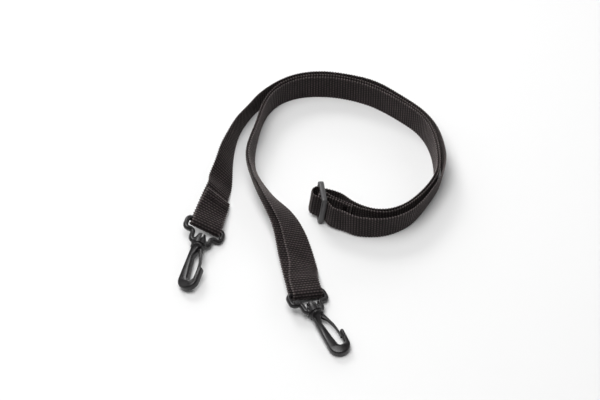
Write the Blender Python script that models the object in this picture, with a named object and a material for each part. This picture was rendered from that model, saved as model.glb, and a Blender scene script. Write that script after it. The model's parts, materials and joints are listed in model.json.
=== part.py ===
import math

import bmesh
import bpy
from mathutils import Matrix, Vector

# All lengths below are millimetres and all angles degrees; meshes are written in metres.
MM = 0.001

# Woven webbing, standing on its lower edge for most of its way
WEB_WIDTH = 25.0
WEB_THICK = 1.3
WEB_EDGE = 0.4
WEB_STEP = 8.0
WEB_TURN_STEP = 2.2
JOIN_GAP = 0.3

# Steps in which the rims of the flat mouldings are rounded, and the edge angle left sharp
RIM_STEPS = 3
SHARP_ANGLE = 38.0
FRAME_SIZE = 5.0

# Swivel loop: moulded frame with a bar for the webbing and a ring for the hook's post
LOOP_HALF_WIDTH = 15.5
LOOP_SIDE = 2.0
LOOP_DEEP = 2.4
LOOP_SHOULDER = 9.7
LOOP_NECK_FOOT = 9.0
LOOP_NECK_HALF = 7.6
LOOP_WAIST_HALF = 7.9
LOOP_BASE = 17.5
LOOP_CORNER = 2.7
LOOP_WAIST_CORNER = 2.5
LOOP_SOFTNESS = 2.4
RING_RADIUS = 5.9
RING_BORE = 3.95
RING_START = 15.35
RING_END = 19.35
RING_CUT = 3.0

# Snap hook: split barbed post, flange, spine, bow and nose with a lip
POST_RADIUS = 3.6
POST_BORE = 1.8
POST_BORE_END = 18.4
CROWN_START = 9.8
CROWN_TIP_RADIUS = 3.2
BARB_START = 14.2
BARB_END = 15.15
BARB_RADIUS = 4.8
SLIT_WIDTH = 1.3
SLIT_LONG = 7.8
SLIT_ACROSS = 12.0
FLANGE_START = 19.8
FLANGE_END = 22.3
FLANGE_RADIUS = 5.6
HOOK_HALF = 3.0
HOOK_ROUND_SIDE = 1.1
HOOK_ROUND_DEEP = 1.9
HOOK_FOOT = 20.2
FOOT_V = (-4.2, 5.0)
SPINE_OUT = ((27.0, -4.5), (40.0, -4.7))
BOW_U = 53.5
BOW_V = 3.8
BOW_RADIUS = 8.6
BOW_SWEEP = (-90.0, 84.0)
NOSE_U = 43.2
NOSE_V = 11.1
NOSE_RADIUS = 1.5
NOSE_SWEEP = (97.0, 270.0)
NOSE_BACK = (49.0, 12.45)
LIP_U = 48.5
LIP_SLANT = 0.6
THROAT_U = 51.5
THROAT_V = 5.6
THROAT_RADIUS = 2.8
SPINE_IN = ((44.5, 1.8), (31.0, 0.1))
SHOULDER_V = 5.3

# Sprung gate, turning about its round root in a socket of the hook
GATE_U = 25.2
GATE_V = 3.9
GATE_ROOT = 1.75
GATE_SOCKET = 2.05
GATE_SWEEP = (122.0, 292.0)
GATE_HALF = 1.6
GATE_ROUND = 0.45
GATE_INNER = ((3.0, 0.2), (6.7, 1.9), (12.5, 3.6), (17.0, 4.1), (22.6, 4.15))
GATE_OUTER = ((22.6, 5.4), (16.5, 5.4), (10.4, 4.8), (3.6, 2.9))

# Slide adjuster: rounded frame with a centre bar
SLIDER_HIGH = 31.6
SLIDER_LONG = 21.8
SLIDER_SIDE = 1.35
SLIDER_THICK = 2.2
SLIDER_CORNER = 2.3
SLIDER_BAR = 1.4
SLIDER_SOFTNESS = 3.2
SLIDER_SKEW = 33.0

# Stitching thread
THREAD_RADIUS = 0.28
THREAD_GAP = 0.1
TACK_PITCH = 1.1
TACK_HALF = 1.3
TACK_MARGIN = 1.0

# Shift that brings the middle of the whole outline over the origin
CENTRING = (0.86, 0.06, -0.09)

# Where the hooks and the slider lie: place, heading from -Y towards +X, slope, tilt, swivel
HOOK_A = {"place": (-86.15, -14.2, 9.7), "heading": -17.0, "slope": 5.5, "tilt": 25.0, "swivel": 47.0}
HOOK_B = {"place": (-8.4, -80.25, 7.9), "heading": 25.2, "slope": 4.0, "tilt": 16.4, "swivel": 16.4}
SLIDER_PLACE = (4.4, 3.6, 16.3)
SLIDER_HEADING = -24.0
SLIDER_LEAN = 6.5

# Fold of the webbing round the bar of hook A, in the plane across the bar
FOLD_RADIUS = 3.4
FOLD_TANGENT = 98.0
FOLD_LEG = 0.85
FOLD_FLAP = -30.5
FOLD_MAIN = -35.0
FOLD_FLARE = [(-22.0, 0.85), (-15.0, 0.85), (-11.8, 1.08), (-7.6, 2.05)]
FOLD_TWIST = 21.4
FOLD_TWIST_FROM = -7.0
FOLD_YAW = 0.8
FOLD_AHEAD = 1.3
FOLD_ASIDE = 0.2
FOLD_DRIFT = 1.2
TACK_A_PLACE = -24.0

# Turn of the webbing round the bar of hook B
TURN_RADIUS = 4.45
TURN_TANGENT = 92.0
TURN_LEG = 9.0
TURN_SPREAD = 0.35
TURN_YAW = -5.5
TURN_AHEAD = 0.5
TURN_ASIDE = 0.2
TURN_LIFT = 0.8
TURN_DRIFT = 1.05
TURN_DRIFT_FROM = -2.5

# Sewn tail round the centre bar of the slider
TAIL_RADIUS = 2.4
TAIL_TANGENT = 100.0
TAIL_LEG = 0.85
TAIL_FLAP = 26.0
TAIL_MAIN = 30.0
TAIL_FLARE = [(18.0, -0.85), (10.0, -0.85), (7.0, -1.05), (4.0, -1.68)]
TACK_TAIL_PLACE = 20.0

# Turn through the slider, over the sewn tail: along and across the strap
SLIDER_TURN = [
    (12.0, -8.5), (9.0, -6.8), (7.3, -5.7), (6.0, -5.0), (4.6, -4.7), (1.5, -4.6),
    (-2.0, -4.8), (-5.0, -4.7), (-7.4, -3.0), (-8.5, -0.3), (-7.7, 2.4),
    (-6.0, 4.0), (-4.2, 4.5), (-1.5, 4.8), (1.5, 5.4), (5.0, 6.2), (8.5, 6.7), (12.0, 6.9),
]

# Stations of the lower edge: x, y, z and lean of the width towards the outside of the strap
OUTER_STATIONS = [
    (-67.4, 27.0, 1.0, 43.0), (-66.6, 41.0, 0.6, 33.0), (-66.3, 57.0, 0.3, 22.0),
    (-65.0, 71.0, 0.1, 11.0), (-61.7, 86.0, 0.1, 2.0), (-56.0, 99.2, 0.1, -5.0),
    (-48.5, 110.8, 0.1, -6.0), (-38.5, 120.4, 0.1, -5.0), (-25.5, 128.6, 0.1, -3.0),
    (-10.0, 133.6, 0.1, -1.0), (5.5, 134.8, 0.1, 0.0), (29.0, 131.2, 0.1, 0.0),
    (49.2, 124.2, 0.1, 0.0), (69.2, 109.2, 0.1, 1.0), (85.0, 94.5, 0.1, 2.0),
    (96.2, 77.5, 0.1, 3.0), (101.0, 59.0, 0.1, 5.0), (101.6, 43.0, 0.1, 7.0),
    (98.8, 30.5, 0.2, 8.0), (92.0, 17.0, 0.2, 9.0), (83.7, 3.6, 0.2, 9.0),
    (75.3, -6.6, 0.2, 8.0), (66.5, -13.0, 0.2, 7.0), (51.3, -18.4, 0.3, 4.0),
    (39.4, -18.9, 0.6, 2.0), (30.0, -17.4, 1.1, 1.0), (21.6, -13.7, 1.8, 0.0),
]
OUTER_LEAD_FROM = 21
INNER_STATIONS = [
    (1.4, -51.7, 2.0, 63.0), (-3.0, -31.7, 1.2, 59.0), (-8.9, -12.6, 0.8, 53.0),
    (-20.0, 7.7, 0.6, 45.0), (-32.0, 21.0, 0.4, 32.0), (-39.8, 32.5, 0.2, 22.0),
    (-45.0, 41.8, 0.1, 15.0), (-47.9, 50.8, 0.1, 9.0), (-48.6, 64.0, 0.1, 1.0),
    (-46.6, 81.0, 0.1, -6.0), (-43.0, 97.0, 0.1, -7.0), (-36.5, 111.2, 0.1, -6.0),
    (-28.0, 120.2, 0.1, -4.0), (-16.5, 126.0, 0.1, -2.0), (4.5, 128.8, 0.1, 0.0),
    (29.0, 125.0, 0.1, 0.0), (48.0, 117.3, 0.1, 0.0), (69.0, 102.4, 0.1, 1.0),
    (84.0, 88.0, 0.1, 2.0), (92.8, 70.0, 0.1, 3.0), (96.0, 48.0, 0.1, 4.0),
    (94.2, 31.5, 0.2, 6.0), (88.2, 19.3, 0.2, 7.0), (79.6, 7.8, 0.2, 7.0),
    (68.5, -2.7, 0.2, 6.0), (53.8, -8.6, 0.3, 4.0), (39.8, -7.2, 0.6, 2.0),
    (27.8, -0.9, 1.2, 1.0),
]
INNER_LEAD_FROM = 24
# Distance of the middle run outside the inner run and its extra lean, station by station
MIDDLE_OFFSETS = [
    (4.0, 12.0), (4.0, 12.0), (3.8, 8.5), (3.6, 5.0), (3.6, 3.5), (3.8, 2.0), (4.0, 1.0),
    (4.1, 0.0), (4.1, 0.0), (4.0, 0.0), (3.6, 0.0), (3.1, 0.0), (2.9, 0.0), (2.8, 0.0),
    (2.8, 0.0), (2.7, 0.0), (2.6, 0.0), (2.4, 0.0), (2.2, 0.0), (2.2, 0.0), (2.2, 0.0),
    (2.1, 0.0), (2.1, 0.0), (2.1, 0.0), (2.2, 0.0), (2.8, 0.0),
]
MIDDLE_LEAD_FROM = 24
# Last station of the middle run: along and across the slider, height and lean
MIDDLE_NEAR_TAIL = (38.5, 1.3, 0.8, 1.0)

# Colour and roughness of each material
BLACK_WEB = (0.011, 0.011, 0.012), 0.85
BLACK_THREAD = (0.02, 0.02, 0.021), 0.7
BLACK_MOULDED = (0.012, 0.012, 0.013), 0.4
GREY_MOULDED = (0.04, 0.041, 0.044), 0.45


def clear_scene():
    for thing in list(bpy.data.objects):
        bpy.data.objects.remove(thing, do_unlink=True)


def make_material(name, look):
    colour, roughness = look
    material = bpy.data.materials.new(name)
    material.use_nodes = True
    shader = material.node_tree.nodes["Principled BSDF"]
    shader.inputs["Base Color"].default_value = (*colour, 1.0)
    shader.inputs["Roughness"].default_value = roughness
    shader.inputs["Metallic"].default_value = 0.0
    return material


def make_frame(name, matrix, parent=None):
    frame = bpy.data.objects.new(name, None)
    bpy.context.collection.objects.link(frame)
    frame.empty_display_size = FRAME_SIZE * MM
    frame.parent = parent
    frame.matrix_local = matrix
    return frame


def make_object(name, bm, look, parent=None):
    bmesh.ops.recalc_face_normals(bm, faces=bm.faces)
    bmesh.ops.scale(bm, vec=(MM, MM, MM), verts=bm.verts)
    mesh = bpy.data.meshes.new(name)
    bm.to_mesh(mesh)
    bm.free()
    mesh.shade_smooth()
    mesh.set_sharp_from_angle(angle=math.radians(SHARP_ANGLE))
    mesh.materials.append(make_material(name + "_material", look))
    thing = bpy.data.objects.new(name, mesh)
    bpy.context.collection.objects.link(thing)
    thing.parent = parent
    return thing


def combine(thing, other, operation):
    other.hide_render = True
    other.display_type = "WIRE"
    modifier = thing.modifiers.new(operation.lower(), "BOOLEAN")
    modifier.operation = operation
    modifier.solver = "EXACT"
    modifier.object = other


# Curves

def second_derivatives(knots, values):
    count = len(values)
    upper = [0.0] * count
    result = [0.0] * count
    for i in range(1, count - 1):
        before = knots[i] - knots[i - 1]
        after = knots[i + 1] - knots[i]
        share = before / (before + after)
        pivot = share * upper[i - 1] + 2.0
        upper[i] = (share - 1.0) / pivot
        slope = (values[i + 1] - values[i]) / after - (values[i] - values[i - 1]) / before
        result[i] = (6.0 * slope / (before + after) - share * result[i - 1]) / pivot
    for i in range(count - 2, -1, -1):
        result[i] = upper[i] * result[i + 1] + result[i]
    return result


class SmoothCurve:
    # Natural cubic curve through points at the given knots
    def __init__(self, knots, points):
        self.knots = knots
        self.points = points
        self.bends = [second_derivatives(knots, [p[axis] for p in points]) for axis in range(3)]

    def at(self, place):
        i = 0
        while i < len(self.knots) - 2 and place > self.knots[i + 1]:
            i += 1
        span = self.knots[i + 1] - self.knots[i]
        near = (self.knots[i + 1] - place) / span
        far = (place - self.knots[i]) / span
        found = []
        for axis in range(3):
            straight = near * self.points[i][axis] + far * self.points[i + 1][axis]
            bend = (near ** 3 - near) * self.bends[axis][i] + (far ** 3 - far) * self.bends[axis][i + 1]
            found.append(straight + bend * span * span / 6.0)
        return Vector(found)


class Ribbon:
    # Two edge curves with one common parameter, close to the length along the middle
    def __init__(self, pairs):
        middles = [(low + up) / 2.0 for low, up in pairs]
        self.knots = [0.0]
        for i in range(1, len(pairs)):
            self.knots.append(self.knots[-1] + (middles[i] - middles[i - 1]).length)
        self.low = SmoothCurve(self.knots, [low for low, up in pairs])
        self.up = SmoothCurve(self.knots, [up for low, up in pairs])

    def samples(self, start, end, step):
        count = max(2, math.ceil((end - start) / step))
        found = []
        for i in range(count + 1):
            place = start + (end - start) * i / count
            found.append((self.low.at(place), self.up.at(place)))
        return found


def arc(centre_x, centre_y, radius, start, end, count):
    points = []
    for i in range(count + 1):
        angle = math.radians(start + (end - start) * i / count)
        points.append((centre_x + radius * math.cos(angle), centre_y + radius * math.sin(angle)))
    return points


def rounded_corners(corners, count):
    # Closed outline with each corner replaced by an arc of its own radius
    points = []
    for i, (x, y, radius) in enumerate(corners):
        corner = Vector((x, y))
        back = (Vector(corners[i - 1][:2]) - corner).normalized()
        ahead = (Vector(corners[(i + 1) % len(corners)][:2]) - corner).normalized()
        half = math.acos(max(-1.0, min(1.0, back.dot(ahead)))) / 2.0
        centre = corner + (back + ahead).normalized() * (radius / math.sin(half))
        first = corner + back * (radius / math.tan(half)) - centre
        turn = first.angle_signed(corner + ahead * (radius / math.tan(half)) - centre)
        for k in range(count + 1):
            spun = first.copy()
            spun.rotate(Matrix.Rotation(-turn * k / count, 2))
            points.append(tuple(centre + spun))
    return points


# Solids

def add_rings(bm, rings, closed):
    rows = [[bm.verts.new(point) for point in ring] for ring in rings]
    count = len(rows[0])
    last = len(rows) if closed else len(rows) - 1
    for i in range(last):
        here = rows[i]
        there = rows[(i + 1) % len(rows)]
        for k in range(count):
            bm.faces.new((here[k], here[(k + 1) % count], there[(k + 1) % count], there[k]))
    if not closed:
        bm.faces.new(rows[0])
        bm.faces.new(rows[-1])
    return bm


def webbing(name, pairs, parent=None):
    half = WEB_WIDTH / 2.0
    thick = WEB_THICK / 2.0
    flat = half - WEB_EDGE
    section = [(-half, 0.0), (-flat, -thick), (flat, -thick), (half, 0.0), (flat, thick), (-flat, thick)]
    middles = [(low + up) / 2.0 for low, up in pairs]
    rings = []
    for i, (low, up) in enumerate(pairs):
        ahead = middles[min(i + 1, len(middles) - 1)]
        back = middles[max(i - 1, 0)]
        travel = (ahead - back).normalized()
        width = (up - low).normalized()
        normal = travel.cross(width).normalized()
        rings.append([middles[i] + width * a + normal * b for a, b in section])
    bm = add_rings(bmesh.new(), rings, False)
    return make_object(name, bm, BLACK_WEB, parent)


def thread(name, points, parent=None):
    rings = []
    for i, point in enumerate(points):
        ahead = points[min(i + 1, len(points) - 1)]
        back = points[max(i - 1, 0)]
        travel = (ahead - back).normalized()
        if i == 0:
            side = travel.orthogonal()
        side = (side - travel * side.dot(travel)).normalized()
        other = travel.cross(side)
        ring = []
        for k in range(6):
            angle = math.tau * k / 6
            ring.append(point + (side * math.cos(angle) + other * math.sin(angle)) * THREAD_RADIUS)
        rings.append(ring)
    bm = add_rings(bmesh.new(), rings, False)
    return make_object(name, bm, BLACK_THREAD, parent)


def frame_sweep(bm, path, section, axis_in, axis_across, axis_out):
    # Closed frame: path in the plane of two axes, section given outward and along the third
    rings = []
    count = len(path)
    for i in range(count):
        here = Vector(path[i])
        back = (here - Vector(path[i - 1])).normalized()
        ahead = (Vector(path[(i + 1) % count]) - here).normalized()
        travel = (back + ahead).normalized()
        outward = Vector((travel.y, -travel.x))
        ring = []
        for a, b in section:
            spot = here + outward * a
            ring.append(axis_in * spot.x + axis_across * spot.y + axis_out * b)
        rings.append(ring)
    return add_rings(bm, rings, True)


def soft_section(half_a, half_b, power, count):
    points = []
    for i in range(count):
        angle = math.tau * i / count
        a = math.cos(angle)
        b = math.sin(angle)
        points.append((
            math.copysign(abs(a) ** (2.0 / power), a) * half_a,
            math.copysign(abs(b) ** (2.0 / power), b) * half_b,
        ))
    return points


def turned(bm, profile, count):
    # Body of revolution about the first axis; the profile starts and ends on the axis
    rows = []
    for along, radius in profile[1:-1]:
        row = []
        for i in range(count):
            angle = math.tau * i / count
            row.append(bm.verts.new((along, radius * math.cos(angle), radius * math.sin(angle))))
        rows.append(row)
    first = bm.verts.new((profile[0][0], 0.0, 0.0))
    last = bm.verts.new((profile[-1][0], 0.0, 0.0))
    for i in range(count):
        k = (i + 1) % count
        bm.faces.new((first, rows[0][i], rows[0][k]))
        for here, there in zip(rows, rows[1:]):
            bm.faces.new((here[i], there[i], there[k], here[k]))
        bm.faces.new((rows[-1][i], last, rows[-1][k]))
    return bm


def plate(outline, half, side, deep):
    # Flat moulding from an outline, its rims rounded as a quarter of an ellipse
    bm = bmesh.new()
    face = bm.faces.new([bm.verts.new((x, y, -half + deep)) for x, y in outline])
    pulled = bmesh.ops.extrude_face_region(bm, geom=[face])
    raised = [item for item in pulled["geom"] if isinstance(item, bmesh.types.BMVert)]
    bmesh.ops.translate(bm, verts=raised, vec=(0.0, 0.0, 2.0 * (half - deep)))
    bmesh.ops.recalc_face_normals(bm, faces=bm.faces)
    caps = [item for item in bm.faces if abs(item.normal.z) > 0.9]
    turns = [math.radians(90.0 * i / RIM_STEPS) for i in range(RIM_STEPS + 1)]
    for cap in caps:
        for before, after in zip(turns, turns[1:]):
            inwards = side * (math.cos(before) - math.cos(after))
            upwards = deep * (math.sin(after) - math.sin(before))
            bmesh.ops.inset_region(bm, faces=[cap], thickness=inwards, depth=upwards, use_even_offset=True)
    return bm


# Swivel snap hook

def hook_frame(place, heading, slope, tilt):
    bearing = math.radians(heading)
    along = Vector((math.sin(bearing), -math.cos(bearing), 0.0))
    across = Vector((math.cos(bearing), math.sin(bearing), 0.0))
    down = math.radians(slope)
    upright = Vector((0.0, 0.0, 1.0))
    axis = along * math.cos(down) - upright * math.sin(down)
    normal = upright * math.cos(down) + along * math.sin(down)
    roll = math.radians(tilt)
    side = across * math.cos(roll) - normal * math.sin(roll)
    face = normal * math.cos(roll) + across * math.sin(roll)
    matrix = Matrix((axis, side, face)).transposed().to_4x4()
    matrix.translation = Vector(place)
    return matrix


def in_metres(matrix):
    scaled = matrix.copy()
    scaled.translation = matrix.translation * MM
    return scaled


def hook_outline():
    points = [(HOOK_FOOT, FOOT_V[0])]
    points += SPINE_OUT
    points += arc(BOW_U, BOW_V, BOW_RADIUS, *BOW_SWEEP, 14)
    points += [NOSE_BACK]
    points += arc(NOSE_U, NOSE_V, NOSE_RADIUS, *NOSE_SWEEP, 6)
    points += [(LIP_U, NOSE_V - NOSE_RADIUS), (LIP_U + LIP_SLANT, THROAT_V + THROAT_RADIUS)]
    points += arc(THROAT_U, THROAT_V, THROAT_RADIUS, 90.0, -90.0, 8)
    points += SPINE_IN
    points += arc(GATE_U, GATE_V, GATE_SOCKET, 270.0, 180.0, 4)
    points += [(GATE_U - GATE_SOCKET, SHOULDER_V), (HOOK_FOOT, FOOT_V[1])]
    return points


def gate_outline():
    return arc(0.0, 0.0, GATE_ROOT, *GATE_SWEEP, 7) + list(GATE_INNER) + list(GATE_OUTER)


def swivel_loop(name, parent):
    half = LOOP_HALF_WIDTH
    side = [
        (0.0, half, LOOP_CORNER), (LOOP_SHOULDER, half, LOOP_CORNER),
        (LOOP_NECK_FOOT, LOOP_WAIST_HALF, LOOP_WAIST_CORNER), (LOOP_BASE, LOOP_NECK_HALF, LOOP_WAIST_CORNER),
    ]
    corners = [(u, -v, radius) for u, v, radius in side] + side[::-1]
    section = soft_section(LOOP_SIDE, LOOP_DEEP, LOOP_SOFTNESS, 12)
    axes = (Vector((1, 0, 0)), Vector((0, 1, 0)), Vector((0, 0, 1)))
    bm = frame_sweep(bmesh.new(), rounded_corners(corners, 3), section, *axes)
    loop = make_object(name, bm, BLACK_MOULDED, parent)
    ring = [(RING_START, 0.0), (RING_START, RING_RADIUS), (RING_END, RING_RADIUS), (RING_END, 0.0)]
    boss = make_object(name + "_boss", turned(bmesh.new(), ring, 28), BLACK_MOULDED, parent)
    above = RING_START - RING_CUT
    below = RING_END + RING_CUT
    bore = [(above, 0.0), (above, RING_BORE), (below, RING_BORE), (below, 0.0)]
    hole = make_object(name + "_bore", turned(bmesh.new(), bore, 28), BLACK_MOULDED, parent)
    combine(loop, boss, "UNION")
    combine(loop, hole, "DIFFERENCE")
    return loop


def snap_hook(name, parent):
    profile = [
        (POST_BORE_END, 0.0), (POST_BORE_END, POST_BORE), (CROWN_START, POST_BORE),
        (CROWN_START, CROWN_TIP_RADIUS), (BARB_START, BARB_RADIUS), (BARB_END, BARB_RADIUS),
        (BARB_END, POST_RADIUS), (FLANGE_START, POST_RADIUS), (FLANGE_START, FLANGE_RADIUS),
        (FLANGE_END, FLANGE_RADIUS), (FLANGE_END, 0.0),
    ]
    body = plate(hook_outline(), HOOK_HALF, HOOK_ROUND_SIDE, HOOK_ROUND_DEEP)
    hook = make_object(name, body, BLACK_MOULDED, parent)
    post = make_object(name + "_post", turned(bmesh.new(), profile, 24), BLACK_MOULDED, parent)
    combine(hook, post, "UNION")
    for turn in (45.0, 135.0):
        bm = bmesh.new()
        bmesh.ops.create_cube(bm, size=1.0)
        bmesh.ops.scale(bm, vec=(2.0 * SLIT_LONG, SLIT_ACROSS, SLIT_WIDTH), verts=bm.verts)
        bmesh.ops.translate(bm, vec=(CROWN_START, 0.0, 0.0), verts=bm.verts)
        bmesh.ops.rotate(bm, matrix=Matrix.Rotation(math.radians(turn), 3, "X"), verts=bm.verts)
        slit = make_object(name + "_slit_%d" % turn, bm, BLACK_MOULDED, parent)
        combine(hook, slit, "DIFFERENCE")
    return hook


def hook_set(letter, where, whole):
    tilted = hook_frame(where["place"], where["heading"], where["slope"], where["tilt"])
    loop_frame = make_frame("loop_%s_frame" % letter, in_metres(tilted), whole)
    swivel_loop("swivel_loop_" + letter, loop_frame)
    spun = Matrix.Rotation(math.radians(where["swivel"]), 4, "X")
    hook_turn = make_frame("hook_%s_frame" % letter, spun, loop_frame)
    snap_hook("snap_hook_" + letter, hook_turn)
    hinge = Matrix.Translation(Vector((GATE_U, GATE_V, 0.0)) * MM)
    gate_frame = make_frame("gate_%s_frame" % letter, hinge, hook_turn)
    gate = plate(gate_outline(), GATE_HALF, GATE_ROUND, GATE_ROUND)
    make_object("spring_gate_" + letter, gate, BLACK_MOULDED, gate_frame)
    return tilted


# Slide adjuster with the webbing that moves with it

def slider_frame():
    matrix = Matrix.Rotation(math.radians(SLIDER_HEADING), 4, "Z")
    matrix = matrix @ Matrix.Rotation(math.radians(SLIDER_LEAN), 4, "Y")
    matrix.translation = Vector(SLIDER_PLACE)
    return matrix


def slide_adjuster(name, parent):
    skew = math.radians(SLIDER_SKEW)
    along = Vector((-math.sin(skew), math.cos(skew), 0.0))
    through = Vector((math.cos(skew), math.sin(skew), 0.0))
    upright = Vector((0.0, 0.0, 1.0))
    half_long = SLIDER_LONG / 2.0 - SLIDER_SIDE
    half_high = SLIDER_HIGH / 2.0 - SLIDER_SIDE
    signs = [(-1, -1), (1, -1), (1, 1), (-1, 1)]
    corners = [(half_long * a, half_high * b, SLIDER_CORNER) for a, b in signs]
    section = soft_section(SLIDER_SIDE, SLIDER_THICK, SLIDER_SOFTNESS, 12)
    bm = frame_sweep(bmesh.new(), rounded_corners(corners, 4), section, along, upright, through)
    slider = make_object(name, bm, GREY_MOULDED, parent)
    profile = [(-half_high, 0.0), (-half_high, SLIDER_BAR), (half_high, SLIDER_BAR), (half_high, 0.0)]
    bm = turned(bmesh.new(), profile, 16)
    bmesh.ops.rotate(bm, matrix=Matrix.Rotation(math.radians(-90.0), 3, "Y"), verts=bm.verts)
    bar = make_object(name + "_bar", bm, GREY_MOULDED, parent)
    combine(slider, bar, "UNION")
    return slider


def upright_pair(matrix, spot):
    half = WEB_WIDTH / 2.0
    low = matrix @ Vector((spot[0], spot[1], -half))
    up = matrix @ Vector((spot[0], spot[1], half))
    return low, up


def lay_on_bar(matrix, ahead, aside, lift, yaw):
    # Frame of the webbing on a loop's bar, a little off it and turned in its plane
    shifted = matrix @ Matrix.Translation(Vector((ahead, aside, lift)))
    return shifted @ Matrix.Rotation(math.radians(yaw), 4, "Z")


def bar_pair(matrix, spot, twist, drift):
    half = WEB_WIDTH / 2.0
    spin = Matrix.Rotation(math.radians(-twist), 4, "X")
    low = matrix @ spin @ Vector((spot[0], drift + half, spot[1]))
    up = matrix @ spin @ Vector((spot[0], drift - half, spot[1]))
    return low, up


def resample(points, step):
    # Even points along the smooth curve through the given ones
    knots = [0.0]
    spots = [Vector((x, y, 0.0)) for x, y in points]
    for here, there in zip(spots, spots[1:]):
        knots.append(knots[-1] + (there - here).length)
    curve = SmoothCurve(knots, spots)
    count = math.ceil(knots[-1] / step)
    found = [curve.at(knots[-1] * i / count) for i in range(count + 1)]
    return [(p.x, p.y) for p in found]


def fold_path():
    flap = [(FOLD_FLAP, FOLD_LEG)] + FOLD_FLARE
    bend = arc(0.0, 0.0, FOLD_RADIUS, FOLD_TANGENT, -FOLD_TANGENT, 9)
    main = [(u, -n) for u, n in flap[::-1]]
    main[-1] = (FOLD_MAIN, -FOLD_LEG)
    return flap + bend + main


def fold_share(along):
    return max(0.0, FOLD_TWIST_FROM - along) / (FOLD_TWIST_FROM - FOLD_FLAP)


def fold_pair(matrix, spot):
    # The strap twists away from the bar, and its sewn flap lies a little to one side
    share = fold_share(spot[0])
    drift = FOLD_DRIFT * share if spot[1] > 0.0 else 0.0
    return bar_pair(matrix, spot, FOLD_TWIST * share, drift)


def turn_path():
    leg = TURN_LEG
    upper = [(-leg, TURN_RADIUS - TURN_SPREAD), (-leg / 2.0, TURN_RADIUS - TURN_SPREAD / 3.0)]
    bend = arc(0.0, 0.0, TURN_RADIUS, TURN_TANGENT, -TURN_TANGENT, 9)
    return upper + bend + [(u, -n) for u, n in upper[::-1]]


def turn_pair(matrix, spot):
    # Both layers leave the bar a little to one side
    share = max(0.0, TURN_DRIFT_FROM - spot[0]) / (TURN_DRIFT_FROM + TURN_LEG)
    return bar_pair(matrix, spot, 0.0, TURN_DRIFT * share)


def tail_path():
    flap = [(TAIL_FLAP, -TAIL_LEG)] + TAIL_FLARE
    bend = arc(0.0, 0.0, TAIL_RADIUS, 180.0 + TAIL_TANGENT, 180.0 - TAIL_TANGENT, 8)
    main = [(s, -q) for s, q in flap[::-1]]
    main[-1] = (TAIL_MAIN, TAIL_LEG)
    return flap + bend + main


def tack_points(matrix, place, height, upright):
    # Zigzag bar tack across the webbing, just above its face
    points = []
    span = WEB_WIDTH - 2.0 * TACK_MARGIN
    count = int(span / TACK_PITCH)
    for i in range(count + 1):
        across = span * (i / count - 0.5)
        along = place + (TACK_HALF if i % 2 else -TACK_HALF)
        if upright:
            points.append(matrix @ Vector((along, height, across)))
        else:
            share = fold_share(along)
            spin = Matrix.Rotation(math.radians(-FOLD_TWIST * share), 4, "X")
            points.append(matrix @ spin @ Vector((along, across + FOLD_DRIFT * share, height)))
    return points


def standing_pairs(stations, first, last):
    spots = [first] + [Vector(s[:3]) for s in stations] + [last]
    pairs = []
    for i, station in enumerate(stations):
        travel = spots[i + 2] - spots[i]
        outward = Vector((-travel.y, travel.x, 0.0)).normalized()
        lean = math.radians(station[3])
        width = Vector((0.0, 0.0, math.cos(lean))) + outward * math.sin(lean)
        pairs.append((spots[i + 1], spots[i + 1] + width * WEB_WIDTH))
    return pairs


def middle_stations(first, last):
    spots = [first] + [Vector(s[:3]) for s in INNER_STATIONS] + [last]
    found = []
    for i, (distance, extra) in enumerate(MIDDLE_OFFSETS):
        x, y, z, lean = INNER_STATIONS[i]
        travel = spots[i + 2] - spots[i]
        outward = Vector((-travel.y, travel.x, 0.0)).normalized()
        found.append((x + outward.x * distance, y + outward.y * distance, z, lean + extra))
    return found


def run_and_lead(whole, run_name, lead_name, before, stations, after, lead_from):
    # Route from two pairs at a hook through the stations to two pairs at the slider
    pairs = before + standing_pairs(stations, before[-1][0], after[0][0]) + after
    ribbon = Ribbon(pairs)
    start = ribbon.knots[len(before) - 1] + JOIN_GAP
    cut = ribbon.knots[len(before) + lead_from]
    end = ribbon.knots[-len(after)] - JOIN_GAP
    webbing(run_name, ribbon.samples(start, cut - JOIN_GAP / 2.0, WEB_STEP), whole)
    webbing(lead_name, ribbon.samples(cut + JOIN_GAP / 2.0, end, WEB_STEP), whole)


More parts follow.
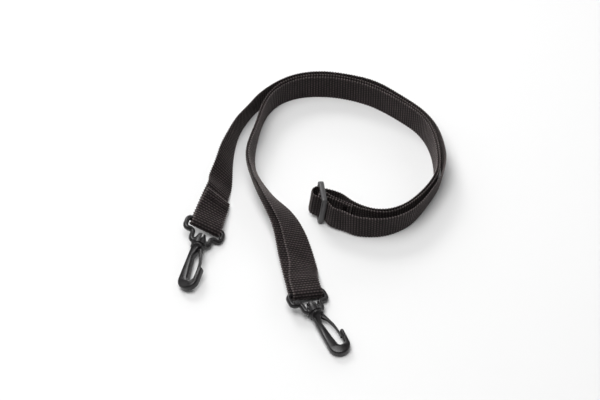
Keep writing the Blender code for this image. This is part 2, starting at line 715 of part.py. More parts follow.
def build():
    clear_scene()
    whole = make_frame("strap_frame", Matrix.Translation(Vector(CENTRING) * MM))
    at_a = hook_set("a", HOOK_A, whole)
    at_b = hook_set("b", HOOK_B, whole)
    at_slider = slider_frame()
    slider_parent = make_frame("slider_frame", in_metres(at_slider), whole)
    slide_adjuster("slide_adjuster", slider_parent)
    still = Matrix.Identity(4)

    fold = resample(fold_path(), WEB_TURN_STEP)
    on_a = lay_on_bar(at_a, FOLD_AHEAD, FOLD_ASIDE, 0.0, FOLD_YAW)
    fold_pairs = [fold_pair(on_a, spot) for spot in fold]
    webbing("webbing_hook_a_fold", fold_pairs, whole)
    tack_height = FOLD_LEG + WEB_THICK / 2.0 + THREAD_GAP + THREAD_RADIUS
    tack = tack_points(on_a, TACK_A_PLACE, tack_height, False)
    thread("stitching_hook_a", tack, whole)

    turn = resample(turn_path(), WEB_TURN_STEP)
    on_b = lay_on_bar(at_b, TURN_AHEAD, TURN_ASIDE, TURN_LIFT, TURN_YAW)
    turn_pairs = [turn_pair(on_b, spot) for spot in turn]
    webbing("webbing_hook_b_turn", turn_pairs, whole)

    bend = resample(SLIDER_TURN, WEB_TURN_STEP)
    bend_pairs = [upright_pair(at_slider, spot) for spot in bend]
    webbing("webbing_slider_turn", [upright_pair(still, spot) for spot in bend], slider_parent)
    tail = resample(tail_path(), WEB_TURN_STEP)
    tail_pairs = [upright_pair(at_slider, spot) for spot in tail]
    webbing("webbing_sewn_tail", [upright_pair(still, spot) for spot in tail], slider_parent)
    tack_side = -(TAIL_LEG + WEB_THICK / 2.0 + THREAD_GAP + THREAD_RADIUS)
    tack = tack_points(still, TACK_TAIL_PLACE, tack_side, True)
    thread("stitching_tail", tack, slider_parent)

    run_and_lead(
        whole, "webbing_outer_run", "webbing_outer_lead",
        [fold_pairs[-3], fold_pairs[-1]], OUTER_STATIONS, [bend_pairs[0], bend_pairs[2]], OUTER_LEAD_FROM,
    )
    run_and_lead(
        whole, "webbing_inner_run", "webbing_inner_lead",
        [turn_pairs[2], turn_pairs[0]], INNER_STATIONS, [bend_pairs[-1], bend_pairs[-3]], INNER_LEAD_FROM,
    )
    middle = middle_stations(turn_pairs[0][0], bend_pairs[-1][0])
    near_tail = upright_pair(at_slider, MIDDLE_NEAR_TAIL)[0]
    middle.append((near_tail.x, near_tail.y, *MIDDLE_NEAR_TAIL[2:]))
    run_and_lead(
        whole, "webbing_middle_run", "webbing_middle_lead",
        [turn_pairs[-3], turn_pairs[-1]], middle, [tail_pairs[-1], tail_pairs[-3]], MIDDLE_LEAD_FROM,
    )


build()
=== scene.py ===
import json
import math

import bmesh
import bpy
import numpy as np
from mathutils import Matrix, Vector


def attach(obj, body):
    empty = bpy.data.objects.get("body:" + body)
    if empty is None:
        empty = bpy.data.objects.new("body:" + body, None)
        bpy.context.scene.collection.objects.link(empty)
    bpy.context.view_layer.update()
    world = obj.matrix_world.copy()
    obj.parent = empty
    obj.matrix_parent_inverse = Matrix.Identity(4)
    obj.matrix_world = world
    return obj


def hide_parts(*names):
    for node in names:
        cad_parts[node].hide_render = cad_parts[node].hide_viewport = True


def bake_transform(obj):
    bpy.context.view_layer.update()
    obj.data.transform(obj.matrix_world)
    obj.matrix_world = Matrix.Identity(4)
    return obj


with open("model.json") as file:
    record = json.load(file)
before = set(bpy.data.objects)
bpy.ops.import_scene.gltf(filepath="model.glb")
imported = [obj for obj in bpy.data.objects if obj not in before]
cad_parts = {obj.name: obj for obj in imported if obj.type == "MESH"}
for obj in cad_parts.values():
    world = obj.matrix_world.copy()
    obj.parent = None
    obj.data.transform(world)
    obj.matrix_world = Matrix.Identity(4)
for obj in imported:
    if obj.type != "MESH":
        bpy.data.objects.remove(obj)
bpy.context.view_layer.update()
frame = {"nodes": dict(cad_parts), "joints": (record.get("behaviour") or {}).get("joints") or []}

mm = 0.001
scene = bpy.context.scene
nodes = frame["nodes"]
joints = {joint["name"]: joint for joint in frame["joints"]}


# colours and shader nodes

def linear(hexColour):
    channels = []
    for start in (1, 3, 5):
        value = int(hexColour[start:start + 2], 16) / 255.0
        channels.append(value / 12.92 if value <= 0.04045 else ((value + 0.055) / 1.055) ** 2.4)
    return (*channels, 1.0)


def addNode(tree, kind, settings=None, values=None, links=None):
    node = tree.nodes.new(kind)
    for name, value in (settings or {}).items():
        setattr(node, name, value)
    for socket, value in (values or {}).items():
        node.inputs[socket].default_value = value
    for socket, source in (links or {}).items():
        tree.links.new(source, node.inputs[socket])
    return node


def setRamp(ramp, stops):
    elements = ramp.color_ramp.elements
    while len(elements) > len(stops):
        elements.remove(elements[-1])
    while len(elements) < len(stops):
        elements.new(0.5)
    for element, (place, colour) in zip(elements, stops):
        element.position = place
        element.color = linear(colour)


def newMaterial(name):
    material = bpy.data.materials.new(name)
    material.use_nodes = True
    tree = material.node_tree
    return material, tree, tree.nodes["Principled BSDF"]


# woven webbing, polypropylene yarn: warm black, matt, with a painted highlight where yarns lie on top and
# painted shade in the gaps between them
webbingLook = {
    "colours": ((0.2, "#0b0808"), (0.6, "#241c1d"), (0.9, "#4a4241"), (1.0, "#605857")),  # painted shade in the gaps, the yarn, painted highlight on the crowns, painted highlight on the sealed ends
    "haze": "#fff1ee", "roughness": 0.75, "specular": 0.12, "fuzz": 0.31, "fuzzRoughness": 0.31,
    "fibreWide": 0.35, "fibreLong": 10.0 / 3.0, "patch": 14.0, "relief": 0.15,  # millimetres
    "fibreShare": 0.45, "darkest": 0.6, "lightest": 1.5, "saturation": 0.8, "bump": 0.35,
}


def wovenPolypropylene():
    look = webbingLook
    material, tree, shader = newMaterial("woven_polypropylene")
    lie = addNode(tree, "ShaderNodeAttribute", {"attribute_name": "weave"})
    ramp = addNode(tree, "ShaderNodeValToRGB", links={"Fac": lie.outputs["Fac"]})
    setRamp(ramp, look["colours"])
    uv = addNode(tree, "ShaderNodeUVMap", {"uv_map": "strap"})
    # filaments run along the strap: fine across, long along, and coarser than real ones so that they show
    stretch = addNode(
        tree, "ShaderNodeMapping", values={"Scale": (1.0 / look["fibreLong"], 1.0 / look["fibreWide"], 1.0)},
        links={"Vector": uv.outputs["UV"]},
    )
    fibres = addNode(
        tree, "ShaderNodeTexNoise", values={"Scale": 1.0, "Detail": 3.0, "Roughness": 0.6},
        links={"Vector": stretch.outputs["Vector"]},
    )
    spread = addNode(
        tree, "ShaderNodeMapping", values={"Scale": (1.0 / look["patch"], 1.0 / look["patch"], 1.0)},
        links={"Vector": uv.outputs["UV"]},
    )
    patches = addNode(
        tree, "ShaderNodeTexNoise", values={"Scale": 1.0, "Detail": 5.0, "Roughness": 0.8},
        links={"Vector": spread.outputs["Vector"]},
    )
    mixed = addNode(
        tree, "ShaderNodeMix", {"data_type": "RGBA", "blend_type": "OVERLAY"}, {"Factor": look["fibreShare"]},
        {"A": ramp.outputs["Color"], "B": fibres.outputs["Color"]},
    )
    tone = addNode(
        tree, "ShaderNodeMapRange",
        values={"From Min": 0.3, "From Max": 0.7, "To Min": look["darkest"], "To Max": look["lightest"]},
        links={"Value": patches.outputs["Fac"]},
    )
    shade = addNode(
        tree, "ShaderNodeHueSaturation", values={"Saturation": look["saturation"]},
        links={"Value": tone.outputs["Result"], "Color": mixed.outputs["Result"]},
    )
    tree.links.new(shade.outputs["Color"], shader.inputs["Base Color"])
    bump = addNode(
        tree, "ShaderNodeBump", values={"Strength": look["bump"], "Distance": look["relief"] * mm},
        links={"Height": fibres.outputs["Fac"]},
    )
    tree.links.new(bump.outputs["Normal"], shader.inputs["Normal"])
    shader.inputs["Roughness"].default_value = look["roughness"]
    shader.inputs["Specular IOR Level"].default_value = look["specular"]
    shader.inputs["Sheen Weight"].default_value = look["fuzz"]
    shader.inputs["Sheen Roughness"].default_value = look["fuzzRoughness"]
    shader.inputs["Sheen Tint"].default_value = linear(look["haze"])
    return material


# moulded acetal: satin black or dark grey, faint mottling and a spark-eroded grain, drawn coarse to show
acetalLook = {
    "black": {"dark": "#121011", "light": "#1b191a", "roughness": 0.28, "grain": 0.35},
    "grey": {"dark": "#3b3a3b", "light": "#474647", "roughness": 0.36, "grain": 0.4},
    "flow": 6.0, "relief": 0.05,  # millimetres, as is the grain
    "smoother": 0.07, "duller": 0.09, "bump": 0.25, "ior": 1.48, "specular": 0.42,
}


def mouldedAcetal(colour):
    look = acetalLook
    own = look[colour]
    material, tree, shader = newMaterial("moulded_acetal_" + colour)
    place = addNode(tree, "ShaderNodeTexCoord")
    flow = addNode(
        tree, "ShaderNodeTexNoise", values={"Scale": 1.0 / (look["flow"] * mm), "Detail": 3.0},
        links={"Vector": place.outputs["Object"]},
    )
    ramp = addNode(tree, "ShaderNodeValToRGB", links={"Fac": flow.outputs["Fac"]})
    setRamp(ramp, [(0.32, own["dark"]), (0.68, own["light"])])
    tree.links.new(ramp.outputs["Color"], shader.inputs["Base Color"])
    pits = addNode(
        tree, "ShaderNodeTexNoise", values={"Scale": 1.0 / (own["grain"] * mm), "Detail": 2.0},
        links={"Vector": place.outputs["Object"]},
    )
    dulling = {"To Min": own["roughness"] - look["smoother"], "To Max": own["roughness"] + look["duller"]}
    dull = addNode(tree, "ShaderNodeMapRange", values=dulling, links={"Value": flow.outputs["Fac"]})
    tree.links.new(dull.outputs["Result"], shader.inputs["Roughness"])
    bump = addNode(
        tree, "ShaderNodeBump", values={"Strength": look["bump"], "Distance": look["relief"] * mm},
        links={"Height": pits.outputs["Fac"]},
    )
    tree.links.new(bump.outputs["Normal"], shader.inputs["Normal"])
    shader.inputs["IOR"].default_value = look["ior"]
    shader.inputs["Specular IOR Level"].default_value = look["specular"]
    return material


# bonded polyester thread: slight sheen, its twist in millimetres
threadLook = {"dark": "#151112", "light": "#383231", "twist": 1.2, "roughness": 0.55, "specular": 0.3}


def bondedThread():
    look = threadLook
    material, tree, shader = newMaterial("bonded_polyester_thread")
    place = addNode(tree, "ShaderNodeTexCoord")
    twist = addNode(
        tree, "ShaderNodeTexWave", {"bands_direction": "DIAGONAL"},
        {"Scale": 1.0 / (look["twist"] * mm), "Distortion": 1.5}, {"Vector": place.outputs["Object"]},
    )
    ramp = addNode(tree, "ShaderNodeValToRGB", links={"Fac": twist.outputs["Fac"]})
    setRamp(ramp, [(0.1, look["dark"]), (0.9, look["light"])])
    tree.links.new(ramp.outputs["Color"], shader.inputs["Base Color"])
    shader.inputs["Roughness"].default_value = look["roughness"]
    shader.inputs["Specular IOR Level"].default_value = look["specular"]
    return material


webbingMaterial = wovenPolypropylene()
threadMaterial = bondedThread()
blackMaterial = mouldedAcetal("black")
greyMaterial = mouldedAcetal("grey")
print("materials ready")


# the loops' places come from the joints of the frame, the slider's from its own settings

def jointVector(name, key):
    return Vector(joints[name][key])


def loopPlace(letter):
    along = jointVector("hook_%s_swivel" % letter, "axis")
    across = jointVector("loop_%s_tilt" % letter, "axis")
    matrix = Matrix((along, across, along.cross(across))).transposed().to_4x4()
    matrix.translation = jointVector("loop_%s_tilt" % letter, "pos_m") / mm
    return matrix


sliderSet = {"place": (4.4, 3.6, 16.3), "heading": -24.0, "lean": 6.5}
centring = Vector((0.86, 0.06, -0.09))  # from the stations' own origin to the frame's


def sliderPlace():
    matrix = Matrix.Rotation(math.radians(sliderSet["heading"]), 4, "Z")
    matrix = matrix @ Matrix.Rotation(math.radians(sliderSet["lean"]), 4, "Y")
    matrix.translation = Vector(sliderSet["place"]) + centring
    return matrix


atA = loopPlace("a")
atB = loopPlace("b")
atSlider = sliderPlace()


# the strap's way, in millimetres: lower edge x, y, z and lean of the width towards the outside

outerStations = [
    (-67.4, 27.0, 1.0, 43.0), (-66.6, 41.0, 0.6, 33.0), (-66.3, 57.0, 0.3, 22.0),
    (-65.0, 71.0, 0.1, 11.0), (-61.7, 86.0, 0.1, 2.0), (-56.0, 99.2, 0.1, -5.0),
    (-48.5, 110.8, 0.1, -6.0), (-38.5, 120.4, 0.1, -5.0), (-25.5, 128.6, 0.1, -3.0),
    (-10.0, 133.6, 0.1, -1.0), (5.5, 134.8, 0.1, 0.0), (29.0, 131.2, 0.1, 0.0),
    (49.2, 124.2, 0.1, 0.0), (69.2, 109.2, 0.1, 1.0), (85.0, 94.5, 0.1, 2.0),
    (96.2, 77.5, 0.1, 3.0), (101.0, 59.0, 0.1, 5.0), (101.6, 43.0, 0.1, 7.0),
    (98.8, 30.5, 0.2, 8.0), (92.0, 17.0, 0.2, 9.0), (83.7, 3.6, 0.2, 9.0),
    (75.3, -6.6, 0.2, 8.0), (66.5, -13.0, 0.2, 7.0), (51.3, -18.4, 0.3, 4.0),
    (39.4, -18.9, 0.6, 2.0), (30.0, -17.4, 1.1, 1.0), (21.6, -13.7, 1.8, 0.0),
]
innerStations = [
    (1.4, -51.7, 2.0, 63.0), (-3.0, -31.7, 1.2, 59.0), (-8.9, -12.6, 0.8, 53.0),
    (-20.0, 7.7, 0.6, 45.0), (-32.0, 21.0, 0.4, 32.5), (-39.8, 32.5, 0.2, 24.5),
    (-45.0, 41.8, 0.1, 18.0), (-47.9, 50.8, 0.1, 12.5), (-48.6, 64.0, 0.1, 4.5),
    (-46.6, 81.0, 0.1, -2.5), (-43.0, 97.0, 0.1, -4.0), (-36.5, 111.2, 0.1, -4.0),
    (-28.0, 120.2, 0.1, -4.0), (-16.5, 126.0, 0.1, -2.0), (4.5, 128.8, 0.1, 0.0),
    (29.0, 125.0, 0.1, 0.0), (48.0, 117.3, 0.1, 0.0), (69.0, 102.4, 0.1, 1.0),
    (84.0, 88.0, 0.1, 2.0), (92.8, 70.0, 0.1, 3.0), (96.0, 48.0, 0.1, 4.0),
    (94.2, 31.5, 0.2, 6.0), (88.2, 19.3, 0.2, 7.0), (79.6, 7.8, 0.2, 7.0),
    (68.5, -2.7, 0.2, 6.0), (53.8, -8.6, 0.3, 4.0), (39.8, -7.2, 0.6, 2.0),
    (27.8, -0.9, 1.2, 1.0),
]
# the middle layer: how far it lies outside the inner one, and its extra lean
middleOffsets = [
    (4.0, 12.0), (4.0, 12.0), (3.8, 8.5), (3.6, 5.0), (3.6, 2.0), (3.8, -1.5), (4.0, -3.5),
    (4.1, -5.0), (4.1, -5.0), (4.0, -4.8), (3.6, -3.5), (3.1, -2.0), (2.9, 0.0), (2.8, 0.0),
    (2.8, 0.0), (2.7, 0.0), (2.6, 0.0), (2.4, 0.0), (2.2, 0.0), (2.2, 0.0), (2.2, 0.0),
    (2.1, 0.0), (2.1, 0.0), (2.1, 0.0), (2.2, 0.0), (2.8, 0.0),
]
# the turn round the slider's centre bar, along and across the slider
sliderTurn = [
    (12.0, -8.5), (9.0, -6.8), (7.3, -5.7), (6.0, -5.0), (4.6, -4.7), (1.5, -4.6),
    (-2.0, -4.8), (-5.0, -4.7), (-7.4, -3.0), (-8.5, -0.3), (-7.7, 2.4),
    (-6.0, 4.0), (-4.2, 4.5), (-1.5, 4.8), (1.5, 5.4), (5.0, 6.2), (8.5, 6.7), (12.0, 6.9),
]
leadFrom = {"outer": 21, "inner": 24, "middle": 24}  # index of the station where each moving lead begins
middleNearTail = (38.5, 1.3, 0.8, 1.0)  # along and across the slider, height, lean
sampleStep = 0.5  # millimetres between samples of a route

webbing = {
    "width": 25.0, "thick": 1.3, "row": 2.25, "columns": 18, "across": 40, "perRow": 5,
    "lift": 0.3, "edge": 0.55, "scallop": 0.42, "rib": 0.66, "bead": 1.08, "fade": 1.2,
    "rimAngles": (60.0, 20.0, -20.0, -60.0), "crease": 70.0, "highlitEndRings": 2, "seamGap": 1e-6,
    # tone: shares of painted shade and painted highlight; rim and scallop give the selvedge edges and their
    # teeth a painted highlight
    "tone": {"level": 0.5, "lie": 0.42, "rim": 0.27, "scallop": 0.3},
}
fold = {
    "radius": 3.4, "tangent": 98.0, "leg": 0.85, "flap": -30.5, "main": -35.0,
    "flare": [(-22.0, 0.85), (-15.0, 0.85), (-11.8, 1.08), (-7.6, 2.05)],
    "twist": 21.4, "drift": 1.2, "twistFrom": -7.0, "bendSteps": 9,
    "ahead": 1.3, "aside": 0.2, "lift": 0.0, "yaw": 0.8,
}
turn = {
    "radius": 4.45, "tangent": 92.0, "leg": 9.0, "spread": 0.35, "drift": 1.05, "driftFrom": -2.5,
    "bendSteps": 9, "ahead": 0.5, "aside": 0.2, "lift": 0.8, "yaw": -5.5,
}
tail = {
    "radius": 2.4, "tangent": 100.0, "leg": 0.85, "flap": 26.0, "main": 30.0, "bendSteps": 8,
    "flare": [(18.0, -0.85), (10.0, -0.85), (7.0, -1.05), (4.0, -1.68)],
}


def arc(radius, start, end, count):
    angles = np.radians(np.linspace(start, end, count + 1))
    return [(radius * math.cos(a), radius * math.sin(a)) for a in angles]


def lengthsAlong(points):
    return np.concatenate([[0.0], np.cumsum(np.linalg.norm(np.diff(points, axis=0), axis=1))])


def smoothThrough(points, knots=None):
    # natural cubic curve through the points, sampled evenly along its knots
    points = np.array(points, float)
    if knots is None:
        knots = lengthsAlong(points)
    spans = np.diff(knots)
    count = len(knots)
    system = np.eye(count)
    target = np.zeros_like(points)
    for i in range(1, count - 1):
        system[i, i - 1:i + 2] = spans[i - 1], 2.0 * (spans[i - 1] + spans[i]), spans[i]
        ahead = (points[i + 1] - points[i]) / spans[i]
        behind = (points[i] - points[i - 1]) / spans[i - 1]
        target[i] = 6.0 * (ahead - behind)
    bends = np.linalg.solve(system, target)

    def at(places):
        k = np.clip(np.searchsorted(knots, places) - 1, 0, count - 2)
        near = ((knots[k + 1] - places) / spans[k])[:, None]
        far = 1.0 - near
        straight = near * points[k] + far * points[k + 1]
        bend = (near ** 3 - near) * bends[k] + (far ** 3 - far) * bends[k + 1]
        return straight + bend * (spans[k] ** 2)[:, None] / 6.0

    steps = max(2, math.ceil((knots[-1] - knots[0]) / sampleStep))
    return at(np.linspace(knots[0], knots[-1], steps + 1)), at


def foldPath():
    flap = [(fold["flap"], fold["leg"])] + fold["flare"]
    bend = arc(fold["radius"], fold["tangent"], -fold["tangent"], fold["bendSteps"])
    main = [(u, -n) for u, n in flap[::-1]]
    main[-1] = (fold["main"], -fold["leg"])
    return smoothThrough(flap + bend + main)[0]


def turnPath():
    leg = turn["leg"]
    end = (-leg, turn["radius"] - turn["spread"])
    half = (-leg / 2.0, turn["radius"] - turn["spread"] / 3.0)
    upper = [end, half]
    bend = arc(turn["radius"], turn["tangent"], -turn["tangent"], turn["bendSteps"])
    return smoothThrough(upper + bend + [(u, -n) for u, n in upper[::-1]])[0]


def tailPath():
    flap = [(tail["flap"], -tail["leg"])] + tail["flare"]
    bend = arc(tail["radius"], 180.0 + tail["tangent"], 180.0 - tail["tangent"], tail["bendSteps"])
    main = [(s, -q) for s, q in flap[::-1]]
    main[-1] = (tail["main"], tail["leg"])
    return smoothThrough(flap + bend + main)[0]


def layOnBar(matrix, lie):
    # frame of the webbing on a loop's bar, a little off it and turned in its plane
    shifted = matrix @ Matrix.Translation(Vector((lie["ahead"], lie["aside"], lie["lift"])))
    return shifted @ Matrix.Rotation(math.radians(lie["yaw"]), 4, "Z")


def barPair(matrix, spot, twist, drift):
    half = webbing["width"] / 2.0
    spin = Matrix.Rotation(math.radians(-twist), 4, "X")
    low = matrix @ spin @ Vector((spot[0], drift + half, spot[1]))
    up = matrix @ spin @ Vector((spot[0], drift - half, spot[1]))
    return np.array(low), np.array(up)


def foldPair(matrix, spot):
    # the strap twists away from the bar, and its sewn flap lies a little to one side
    share = max(0.0, fold["twistFrom"] - spot[0]) / (fold["twistFrom"] - fold["flap"])
    drift = fold["drift"] * share if spot[1] > 0.0 else 0.0
    return barPair(matrix, spot, fold["twist"] * share, drift)


def turnPair(matrix, spot):
    # both layers leave the bar a little to one side
    share = max(0.0, turn["driftFrom"] - spot[0]) / (turn["driftFrom"] + turn["leg"])
    return barPair(matrix, spot, 0.0, turn["drift"] * share)


def uprightPair(matrix, spot):
    half = webbing["width"] / 2.0
    return np.array(matrix @ Vector((*spot, -half))), np.array(matrix @ Vector((*spot, half)))


def outwardAt(spots, i):
    travel = spots[i + 1] - spots[i - 1]
    side = np.array((-travel[1], travel[0], 0.0))
    return side / np.linalg.norm(side)


def routeSpots(stations, first, last):
    shift = np.array(centring)
    return [first] + [np.array(station[:3]) + shift for station in stations] + [last]


def standingPairs(stations, first, last):
    spots = routeSpots(stations, first, last)
    pairs = []
    for i, station in enumerate(stations, 1):
        lean = math.radians(station[3])
        width = np.array((0.0, 0.0, math.cos(lean))) + outwardAt(spots, i) * math.sin(lean)
        pairs.append((spots[i], spots[i] + width * webbing["width"]))
    return pairs


def middleStations(first, last):
    spots = routeSpots(innerStations, first, last)
    found = []
    for i, (distance, extra) in enumerate(middleOffsets):
        x, y, z, lean = innerStations[i]
        aside = outwardAt(spots, i + 1) * distance
        found.append((x + aside[0], y + aside[1], z, lean + extra))
    near = uprightPair(atSlider, middleNearTail[:2])[0] - np.array(centring)
    found.append((near[0], near[1], *middleNearTail[2:]))
    return found


def runAndLead(before, stations, after, split):
    # edge curves from a hook to the slider, cut where the moving lead begins
    pairs = before + standingPairs(stations, before[-1][0], after[0][0]) + after
    lows = np.array([low for low, up in pairs])
    ups = np.array([up for low, up in pairs])
    knots = lengthsAlong((lows + ups) / 2.0)
    lowAt = smoothThrough(lows, knots=knots)[1]
    upAt = smoothThrough(ups, knots=knots)[1]
    start = knots[len(before) - 1]
    cut = knots[len(before) + split]
    end = knots[-len(after)]
    run = np.append(np.arange(start, cut, sampleStep), cut)
    lead = np.linspace(cut, end, math.ceil((end - cut) / sampleStep))
    return (lowAt(run), upAt(run)), (lowAt(lead), upAt(lead))


def asEdges(pairs):
    return np.array([p[0] for p in pairs]), np.array([p[1] for p in pairs])


def chain(*stretches):
    # stretches end to end, without the doubled ring where two meet
    lows = [stretches[0][0]]
    ups = [stretches[0][1]]
    for low, up in stretches[1:]:
        lows.append(low[1:])
        ups.append(up[1:])
    return np.concatenate(lows), np.concatenate(ups)


def back(stretch):
    return stretch[0][::-1], stretch[1][::-1]


onA = layOnBar(atA, fold)
onB = layOnBar(atB, turn)
foldEdges = asEdges([foldPair(onA, spot) for spot in foldPath()])
turnEdges = asEdges([turnPair(onB, spot) for spot in turnPath()])
bendEdges = asEdges([uprightPair(atSlider, spot) for spot in smoothThrough(sliderTurn)[0]])
tailEdges = asEdges([uprightPair(atSlider, spot) for spot in tailPath()])


def pairAt(edges, index):
    return edges[0][index], edges[1][index]


guide = 9  # about this many samples lie between the two pairs that carry a tangent over a join
outerRun, outerLead = runAndLead(
    [pairAt(foldEdges, -guide), pairAt(foldEdges, -1)], outerStations,
    [pairAt(bendEdges, 0), pairAt(bendEdges, guide)], leadFrom["outer"],
)
innerRun, innerLead = runAndLead(
    [pairAt(turnEdges, guide), pairAt(turnEdges, 0)], innerStations,
    [pairAt(bendEdges, -1), pairAt(bendEdges, -guide)], leadFrom["inner"],
)
middleRun, middleLead = runAndLead(
    [pairAt(turnEdges, -guide), pairAt(turnEdges, -1)],
    middleStations(turnEdges[0][0], bendEdges[0][-1]),
    [pairAt(tailEdges, -1), pairAt(tailEdges, -guide)], leadFrom["middle"],
)
print("strap route laid out")


def strapSection():
    # once round the webbing: across, through, share of the weave and share of the edge scallops
    half = webbing["width"] / 2.0
    flat = half - webbing["edge"]
    thick = webbing["thick"] / 2.0 - webbing["lift"]
    face = np.linspace(-flat, flat, webbing["across"])
    fade = np.clip((flat - np.abs(face)) / webbing["fade"], 0.0, 1.0)
    rim = np.radians(webbing["rimAngles"])
    rimOut = flat + webbing["edge"] * np.cos(rim)
    rimUp = thick * np.sin(rim) * webbing["bead"]
    level = np.full_like(face, thick)
    across = np.concatenate([face, rimOut, face[::-1], -rimOut])
    through = np.concatenate([level, rimUp, -level, -rimUp])
    none = np.zeros(len(rim))
    weave = np.concatenate([fade, none, fade, none])
    rims = np.concatenate([1.0 - fade, none + 1.0, 1.0 - fade, none + 1.0])
    return across, through, weave, rims


def unitRows(rows):
    return rows / np.linalg.norm(rows, axis=1)[:, None]


def evenRings(edges, startLength):
    lows, ups = edges
    length = lengthsAlong((lows + ups) / 2.0)
    count = max(4, round(length[-1] / (webbing["row"] / webbing["perRow"])))
    places = np.linspace(0.0, length[-1], count + 1)
    low = np.stack([np.interp(places, length, lows[:, k]) for k in range(3)], 1)
    up = np.stack([np.interp(places, length, ups[:, k]) for k in range(3)], 1)
    middle = (low + up) / 2.0
    travel = unitRows(np.gradient(middle, axis=0))
    width = unitRows(up - low)
    normal = unitRows(np.cross(travel, width))
    return middle, width, normal, places + startLength, length[-1]


def flatGrid(name, along, around):
    # one unit long and wide, from -0.5 to 0.5
    bm = bmesh.new()
    bm.loops.layers.uv.new("strap")
    bmesh.ops.create_grid(bm, x_segments=along, y_segments=around, size=0.5, calc_uvs=True)
    mesh = bpy.data.meshes.new(name)
    bm.to_mesh(mesh)
    bm.free()
    return mesh


def sewUp(mesh):
    # the seam is merged and both ends are filled
    bm = bmesh.new()
    bm.from_mesh(mesh)
    seam = [vertex for vertex in bm.verts if vertex.is_boundary]
    bmesh.ops.remove_doubles(bm, verts=seam, dist=webbing["seamGap"])
    bmesh.ops.holes_fill(bm, edges=[edge for edge in bm.edges if edge.is_boundary], sides=0)
    bmesh.ops.recalc_face_normals(bm, faces=bm.faces)
    bm.to_mesh(mesh)
    bm.free()


def scaleUv(mesh, length, startLength):
    # the UV map runs in millimetres along the whole strap, and roughly so round its section
    uv = mesh.uv_layers["strap"]
    spots = np.zeros(len(mesh.loops) * 2, np.float32)
    uv.data.foreach_get("uv", spots)
    size = np.array((length, 2.0 * webbing["width"]))
    spots = spots.reshape(-1, 2) * size + np.array((startLength, 0.0))
    uv.data.foreach_set("uv", spots.astype(np.float32).ravel())


def makeStrap(name, edges, startLength=0.0, highlitEnds=()):
    # a flat grid, rolled into a closed flat tube along the route and sewn up at its seam and ends
    middle, width, normal, places, length = evenRings(edges, startLength)
    across, through, weave, rims = strapSection()
    along = len(places) - 1
    around = len(across)
    mesh = flatGrid(name, along, around)
    flat = np.zeros(len(mesh.vertices) * 3, np.float32)
    mesh.vertices.foreach_get("co", flat)
    flat = flat.reshape(-1, 3)
    ring = np.rint((flat[:, 0] + 0.5) * along).astype(int)
    spot = np.rint((flat[:, 1] + 0.5) * around).astype(int) % around
    column = webbing["width"] / webbing["columns"]
    distance = places[ring]
    # rows of picks; in every other row the yarns on top lie one column further
    rows = np.cos(math.tau * distance / webbing["row"])
    checks = np.cos(math.pi * distance / webbing["row"]) * np.cos(math.pi * across[spot] / column)
    side = np.sign(through[spot])
    lie = (webbing["rib"] * rows + (1.0 - webbing["rib"]) * checks * side) * weave[spot]
    wave = rows * rims[spot]
    aside = across[spot] * (1.0 + webbing["scallop"] * wave / (webbing["width"] / 2.0))
    out = through[spot] + side * webbing["lift"] * lie
    place = middle[ring] + width[ring] * aside[:, None] + normal[ring] * out[:, None]
    mesh.vertices.foreach_set("co", (place * mm).astype(np.float32).ravel())
    tone = webbing["tone"]
    # the weave tone is painted light: painted shade in the gaps, and painted highlight on the crowns, the
    # selvedge rims and their scallop teeth
    value = tone["level"] + tone["lie"] * lie + tone["rim"] * rims[spot] + tone["scallop"] * wave
    # the cut ends are heat-sealed, and their rings get a painted highlight where the cut edge catches light
    for end in highlitEnds:
        value[np.abs(ring - end % (along + 1)) < webbing["highlitEndRings"]] = 1.0
    high = mesh.attributes.new("weave", "FLOAT", "POINT")
    high.data.foreach_set("value", value.astype(np.float32))
    scaleUv(mesh, length, startLength)
    sewUp(mesh)
    mesh.shade_smooth()
    mesh.set_sharp_from_angle(angle=math.radians(webbing["crease"]))
    mesh.materials.append(webbingMaterial)
    strap = bpy.data.objects.new(name, mesh)
    scene.collection.objects.link(strap)
    return strap, length


strapOuter, outerLong = makeStrap("strap_outer", chain(foldEdges, outerRun), highlitEnds=(0,))
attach(strapOuter, "strap")
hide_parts("webbing_hook_a_fold", "webbing_outer_run")

throughSlider = chain(outerLead, bendEdges, back(innerLead))
strapSlider, sliderLong = makeStrap("strap_through_slider", throughSlider, outerLong)
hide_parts("webbing_outer_lead", "webbing_slider_turn", "webbing_inner_lead")

strapInner, innerLong = makeStrap("strap_inner", chain(back(innerRun), turnEdges), outerLong + sliderLong)
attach(strapInner, "strap")
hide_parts("webbing_inner_run", "webbing_hook_b_turn")

reach = outerLong + sliderLong + innerLong
strapMiddle, middleLong = makeStrap("strap_middle", middleRun, reach)
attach(strapMiddle, "strap")
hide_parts("webbing_middle_run")

tailRoute = chain(middleLead, back(tailEdges))
strapTail, tailLong = makeStrap("strap_tail", tailRoute, reach + middleLong, highlitEnds=(-1,))
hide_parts("webbing_middle_lead", "webbing_sewn_tail")

# the two leads' meshes are baked in place; where they would give way along the slider is listed but not used
moving = {"throughFrom": 14.0, "tailFrom": 31.0, "until": 78.0}  # millimetres along the slider


for strap, start in ((strapSlider, moving["throughFrom"]), (strapTail, moving["tailFrom"])):
    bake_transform(strap)
print("webbing woven, %.0f mm in all" % (reach + middleLong + tailLong))


# rigid pieces: welded copies of the CAD solids, shaded smooth

moulded = {"weld": 2e-6, "crease": 34.0}  # metres, degrees


def weldedCopy(node, material, body):
    mesh = nodes[node].data.copy()
    mesh.name = node + "_moulded"
    bm = bmesh.new()
    bm.from_mesh(mesh)
    bmesh.ops.remove_doubles(bm, verts=bm.verts, dist=moulded["weld"])
    bm.to_mesh(mesh)
    bm.free()
    mesh.shade_smooth()
    mesh.set_sharp_from_angle(angle=math.radians(moulded["crease"]))
    mesh.materials.clear()
    mesh.materials.append(material)
    piece = bpy.data.objects.new(mesh.name, mesh)
    scene.collection.objects.link(piece)
    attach(piece, body)
    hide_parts(node)


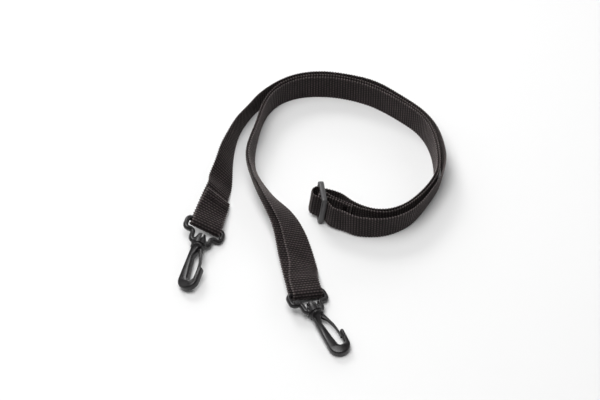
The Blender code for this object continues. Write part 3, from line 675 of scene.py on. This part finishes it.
for letter in "ab":
    weldedCopy("swivel_loop_" + letter, blackMaterial, "loop_" + letter)
    weldedCopy("snap_hook_" + letter, blackMaterial, "hook_" + letter)
    weldedCopy("spring_gate_" + letter, blackMaterial, "gate_" + letter)
weldedCopy("slide_adjuster", greyMaterial, "slider")
weldedCopy("stitching_hook_a", threadMaterial, "strap")
weldedCopy("stitching_tail", threadMaterial, "slider")
print("moulded pieces in place")


# floor, light and camera

studio = {
    "floor": 3.0, "floorTone": "#d4d4d4", "floorRoughness": 0.9, "sky": 0.07,
    "softboxes": {
        "overhead": {"place": (-0.3, -0.1, 1.55), "wide": 1.2, "tall": 1.2, "power": 16.6},
        "front": {"place": (-0.2, -0.35, 1.55), "wide": 0.8, "tall": 0.8, "power": 12.2},
        "left_back": {"place": (-0.6, 1.1, 1.2), "wide": 0.6, "tall": 0.6, "power": 11.5},
        "backdrop": {"place": (0.1, 1.7, 0.5), "wide": 3.2, "tall": 1.0, "power": 22.0},
        "left": {"place": (-1.5, 0.3, 0.8), "wide": 1.0, "tall": 1.0, "power": 3.0},
        "right": {"place": (1.3, 0.3, 0.9), "wide": 1.0, "tall": 1.0, "power": 3.5},
    },
}


def makeFloor():
    bm = bmesh.new()
    bmesh.ops.create_grid(bm, x_segments=1, y_segments=1, size=studio["floor"])
    mesh = bpy.data.meshes.new("floor")
    bm.to_mesh(mesh)
    bm.free()
    material, tree, shader = newMaterial("white_paper")
    shader.inputs["Base Color"].default_value = linear(studio["floorTone"])
    shader.inputs["Roughness"].default_value = studio["floorRoughness"]
    mesh.materials.append(material)
    floor = bpy.data.objects.new("floor", mesh)
    scene.collection.objects.link(floor)


def addLight(name, box):
    light = bpy.data.lights.new(name, "AREA")
    light.shape = "RECTANGLE"
    light.size = box["wide"]
    light.size_y = box["tall"]
    light.energy = box["power"]
    lamp = bpy.data.objects.new(name, light)
    lamp.location = box["place"]
    lamp.rotation_euler = (-Vector(box["place"])).to_track_quat("-Z", "Y").to_euler()
    lamp.visible_camera = False
    scene.collection.objects.link(lamp)


def makeStudio():
    makeFloor()
    world = bpy.data.worlds.new("studio")
    world.use_nodes = True
    sky = world.node_tree.nodes["Background"]
    sky.inputs["Color"].default_value = linear("#ffffff")
    sky.inputs["Strength"].default_value = studio["sky"]
    scene.world = world
    for side, box in studio["softboxes"].items():
        addLight("softbox_" + side, box)
    scene.view_settings.view_transform = "Standard"


view = {
    "elevation": 51.0, "distance": 2.0, "target": (-0.01114, 0.01906, 0.0),
    "lens": 150.0, "sensor": 36.0,
}


def makeCamera():
    camera = bpy.data.cameras.new("camera")
    camera.lens = view["lens"]
    camera.sensor_width = view["sensor"]
    tilt = math.radians(view["elevation"])
    eye = bpy.data.objects.new("camera", camera)
    away = Vector((0.0, -math.cos(tilt), math.sin(tilt)))
    eye.location = Vector(view["target"]) + away * view["distance"]
    eye.rotation_euler = (math.pi / 2.0 - tilt, 0.0, 0.0)
    scene.collection.objects.link(eye)
    scene.camera = eye


makeStudio()
makeCamera()
print("studio set up")
